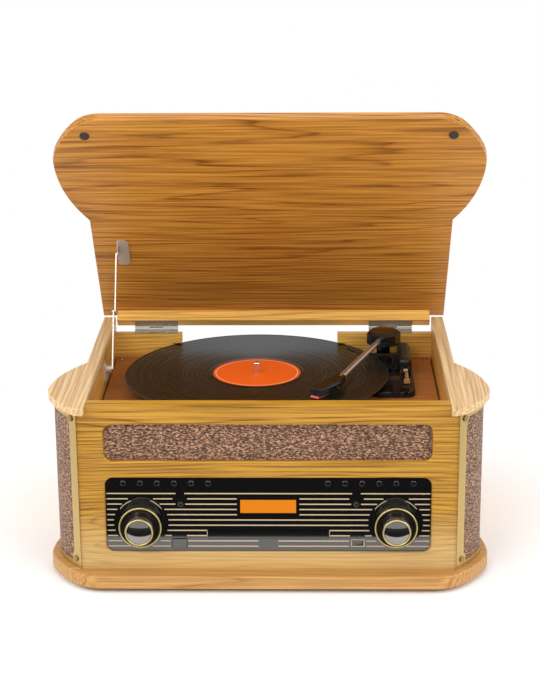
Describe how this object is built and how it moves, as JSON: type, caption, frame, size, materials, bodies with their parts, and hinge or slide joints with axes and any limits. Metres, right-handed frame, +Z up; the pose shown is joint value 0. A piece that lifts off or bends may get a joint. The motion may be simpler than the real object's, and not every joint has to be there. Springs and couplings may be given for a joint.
{
  "type": "retro record player",
  "caption": "Retro wooden record player with curved speaker ends, striped front with knobs and buttons, belt-driven turntable and a lid held open by a folding stay.",
  "frame": {"origin": "on the floor, in the middle of the width and of the depth at rest", "axes": "+X to the right seen from the front, +Y to the back, +Z up"},
  "size_m": [0.4734, 0.3802, 0.4804],
  "materials": {
    "oak_vinyl": "honey oak wood-grain foil over board, satin",
    "deck_oak": "darker oak wood-grain foil, satin",
    "black_rubber": "matt black rubber",
    "dark_steel": "dark plated steel",
    "speckled_cloth": "woven speaker cloth, mauve brown with light and dark flecks",
    "pale_brass": "satin pale brass",
    "driver_paper": "black paper cone and pressed basket",
    "gloss_black": "glossy black moulding",
    "amber_display": "lit amber display window",
    "nickel": "nickel plated metal",
    "circuit_board": "green circuit board with components",
    "black_plastic": "satin black plastic",
    "polished_steel": "polished steel",
    "black_vinyl": "grooved black vinyl",
    "orange_label": "orange printed paper, plain",
    "satin_aluminium": "satin aluminium tube",
    "red_plastic": "red-orange plastic",
    "dark_knob": "dark glossy knob with gold rings"
  },
  "bodies": {
    "cabinet": {"base_plinth": "oak_vinyl", "rubber_feet": "black_rubber", "front_panel": "oak_vinyl", "side_panels": "oak_vinyl", "top_boards": "oak_vinyl", "back_board": "oak_vinyl", "deck_plate": "deck_oak", "small_screws": "dark_steel", "cloth_grilles": "speckled_cloth", "speaker_trims": "pale_brass", "speaker_drivers": "driver_paper", "control_fascia": "gloss_black", "button_bezel": "gloss_black", "display_window": "amber_display", "front_sockets": "nickel", "circuit_boards": "circuit_board", "rear_socket_panel": "black_plastic", "drive_motor": "nickel", "spindle": "polished_steel", "drive_belt": "black_rubber", "tonearm_base": "black_plastic", "hinge_body_leaves": "nickel", "stay_wall_bracket": "nickel", "cd_mechanism": "black_plastic"},
    "lid": {"lid_board": "oak_vinyl", "lid_strip": "oak_vinyl", "lid_bumpers": "black_rubber", "hinge_lid_leaves": "nickel", "stay_lid_bracket": "nickel"},
    "stay_upper": {"stay_upper_arm": "nickel"},
    "stay_lower": {"stay_lower_arm": "nickel"},
    "turntable": {"platter": "black_plastic", "slip_mat": "black_rubber", "record_disc": "black_vinyl", "record_label": "orange_label"},
    "pulley": {"motor_pulley": "pale_brass"},
    "arm_turret": {"tonearm_turret": "black_plastic"},
    "arm": {"tonearm_head": "gloss_black", "arm_tube": "satin_aluminium", "headshell": "gloss_black", "stylus": "red_plastic"},
    "cue_lever": {"cue_lever": "polished_steel"},
    "arm_lift": {"lift_platform": "black_plastic"},
    "speed_slide": {"speed_selector": "black_plastic"},
    "volume": {"volume_knob": "dark_knob"},
    "tuning": {"tuning_knob": "dark_knob"},
    "power": {"power_key": "gloss_black"},
    "drawer": {"cd_tray": "gloss_black"},
    "push_button_01": {"push_button_01": "gloss_black"},
    "push_button_02": {"push_button_02": "gloss_black"},
    "push_button_03": {"push_button_03": "gloss_black"},
    "push_button_04": {"push_button_04": "gloss_black"},
    "push_button_05": {"push_button_05": "gloss_black"},
    "push_button_06": {"push_button_06": "gloss_black"},
    "push_button_07": {"push_button_07": "gloss_black"},
    "push_button_08": {"push_button_08": "gloss_black"},
    "push_button_09": {"push_button_09": "gloss_black"},
    "push_button_10": {"push_button_10": "gloss_black"},
    "push_button_11": {"push_button_11": "gloss_black"},
    "push_button_12": {"push_button_12": "gloss_black"}
  },
  "joints": [
    {"name": "lid_hinge", "type": "hinge", "parent": "cabinet", "child": "lid", "pos_m": [0, 0.1596, 0.187], "axis": [1, 0, 0], "range_deg": [0, 54.3]},
    {"name": "stay_top_pivot", "type": "hinge", "parent": "lid", "child": "stay_upper", "pos_m": [-0.1794, 0.09228, 0.29748], "axis": [1, 0, 0], "range_deg": [-108.75, 0]},
    {"name": "stay_foot_pivot", "type": "hinge", "parent": "cabinet", "child": "stay_lower", "pos_m": [-0.1812, 0.0307, 0.1777], "axis": [1, 0, 0], "range_deg": [0, 109.47]},
    {"name": "platter_spin", "type": "hinge", "parent": "cabinet", "child": "turntable", "pos_m": [-0.01665, 0.0365, 0.1719], "axis": [0, 0, -1], "continuous": true},
    {"name": "pulley_spin", "type": "hinge", "parent": "cabinet", "child": "pulley", "pos_m": [-0.01665, -0.0523, 0.1688], "axis": [0, 0, -1], "continuous": true},
    {"name": "tonearm_swing", "type": "hinge", "parent": "cabinet", "child": "arm_turret", "pos_m": [0.131, 0.1157, 0.19], "axis": [0, 0, 1], "range_deg": [-20.5, 27.3]},
    {"name": "tonearm_lift", "type": "hinge", "parent": "arm_turret", "child": "arm", "pos_m": [0.131, 0.1157, 0.19], "axis": [-0.9225, 0.3859, 0], "range_deg": [0, 3.2]},
    {"name": "cue_lever_turn", "type": "hinge", "parent": "cabinet", "child": "cue_lever", "pos_m": [0.154, 0.0487, 0.1689], "axis": [-1, 0, 0], "range_deg": [0, 45]},
    {"name": "lift_rise", "type": "slide", "parent": "cabinet", "child": "arm_lift", "axis": [0, 0, 1], "range_m": [0, 0.00242]},
    {"name": "speed_slide", "type": "slide", "parent": "cabinet", "child": "speed_slide", "axis": [0, 1, 0], "range_m": [0, 0.006]},
    {"name": "volume_turn", "type": "hinge", "parent": "cabinet", "child": "volume", "pos_m": [-0.1343, -0.1628, 0.07], "axis": [0, 1, 0], "range_deg": [0, 280]},
    {"name": "tuning_turn", "type": "hinge", "parent": "cabinet", "child": "tuning", "pos_m": [0.1343, -0.1628, 0.07], "axis": [0, 1, 0], "range_deg": [-140, 140]},
    {"name": "power_press", "type": "slide", "parent": "cabinet", "child": "power", "axis": [0, 1, 0], "range_m": [0, 0.001], "stiffness_N_per_m": 500},
    {"name": "drawer_slide", "type": "slide", "parent": "cabinet", "child": "drawer", "axis": [0, -1, 0], "range_m": [0, 0.115]},
    {"name": "press_01", "type": "slide", "parent": "cabinet", "child": "push_button_01", "axis": [0, 1, 0], "range_m": [0, 0.0008], "stiffness_N_per_m": 400},
    {"name": "press_02", "type": "slide", "parent": "cabinet", "child": "push_button_02", "axis": [0, 1, 0], "range_m": [0, 0.0008], "stiffness_N_per_m": 400},
    {"name": "press_03", "type": "slide", "parent": "cabinet", "child": "push_button_03", "axis": [0, 1, 0], "range_m": [0, 0.0008], "stiffness_N_per_m": 400},
    {"name": "press_04", "type": "slide", "parent": "cabinet", "child": "push_button_04", "axis": [0, 1, 0], "range_m": [0, 0.0008], "stiffness_N_per_m": 400},
    {"name": "press_05", "type": "slide", "parent": "cabinet", "child": "push_button_05", "axis": [0, 1, 0], "range_m": [0, 0.0008], "stiffness_N_per_m": 400},
    {"name": "press_06", "type": "slide", "parent": "cabinet", "child": "push_button_06", "axis": [0, 1, 0], "range_m": [0, 0.0008], "stiffness_N_per_m": 400},
    {"name": "press_07", "type": "slide", "parent": "cabinet", "child": "push_button_07", "axis": [0, 1, 0], "range_m": [0, 0.0008], "stiffness_N_per_m": 400},
    {"name": "press_08", "type": "slide", "parent": "cabinet", "child": "push_button_08", "axis": [0, 1, 0], "range_m": [0, 0.0008], "stiffness_N_per_m": 400},
    {"name": "press_09", "type": "slide", "parent": "cabinet", "child": "push_button_09", "axis": [0, 1, 0], "range_m": [0, 0.0008], "stiffness_N_per_m": 400},
    {"name": "press_10", "type": "slide", "parent": "cabinet", "child": "push_button_10", "axis": [0, 1, 0], "range_m": [0, 0.0008], "stiffness_N_per_m": 400},
    {"name": "press_11", "type": "slide", "parent": "cabinet", "child": "push_button_11", "axis": [0, 1, 0], "range_m": [0, 0.0008], "stiffness_N_per_m": 400},
    {"name": "press_12", "type": "slide", "parent": "cabinet", "child": "push_button_12", "axis": [0, 1, 0], "range_m": [0, 0.0008], "stiffness_N_per_m": 400}
  ],
  "couplings": [
    {"joint": "stay_top_pivot", "follows": "lid_hinge", "ratio": -2.0007},
    {"joint": "stay_foot_pivot", "follows": "lid_hinge", "ratio": 2.0139},
    {"joint": "pulley_spin", "follows": "platter_spin", "ratio": 9.1667},
    {"joint": "lift_rise", "follows": "cue_lever_turn", "m_per_rad": 0.0030558},
    {"joint": "tonearm_lift", "follows": "cue_lever_turn", "ratio": 0.067906}
  ]
}
